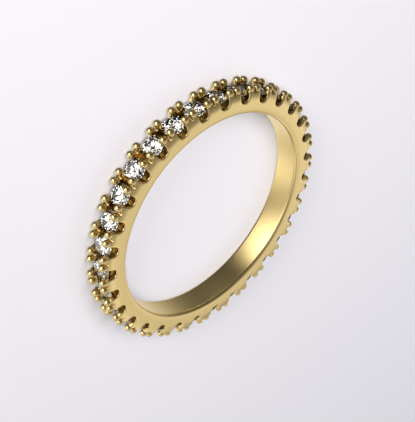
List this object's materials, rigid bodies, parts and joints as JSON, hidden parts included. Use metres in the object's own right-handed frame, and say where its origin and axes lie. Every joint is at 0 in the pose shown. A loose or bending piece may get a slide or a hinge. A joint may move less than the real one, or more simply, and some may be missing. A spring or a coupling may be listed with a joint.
{
  "type": "wedding ring",
  "caption": "Slim full eternity ring in polished yellow gold, with small round brilliant stones all the way round, each held by four ball-topped claws.",
  "frame": {"origin": "centre of the finger hole, on the lower side face that the ring rests on", "axes": "+Z along the finger hole, out of the upper side face; -Y towards stone_01; +X to the right of it"},
  "size_m": [0.0208, 0.0207, 0.0021],
  "materials": {
    "gold": "polished yellow gold, cast and burnished",
    "stone": "clear cut stone with polished facets"
  },
  "bodies": {
    "root": {"band": "gold", "stone_01": "stone", "stone_02": "stone", "stone_03": "stone", "stone_04": "stone", "stone_05": "stone", "stone_06": "stone", "stone_07": "stone", "stone_08": "stone", "stone_09": "stone", "stone_10": "stone", "stone_11": "stone", "stone_12": "stone", "stone_13": "stone", "stone_14": "stone", "stone_15": "stone", "stone_16": "stone", "stone_17": "stone", "stone_18": "stone", "stone_19": "stone", "stone_20": "stone", "stone_21": "stone", "stone_22": "stone", "stone_23": "stone", "stone_24": "stone", "stone_25": "stone", "stone_26": "stone", "stone_27": "stone", "stone_28": "stone", "stone_29": "stone", "stone_30": "stone", "stone_31": "stone"}
  },
  "joints": []
}
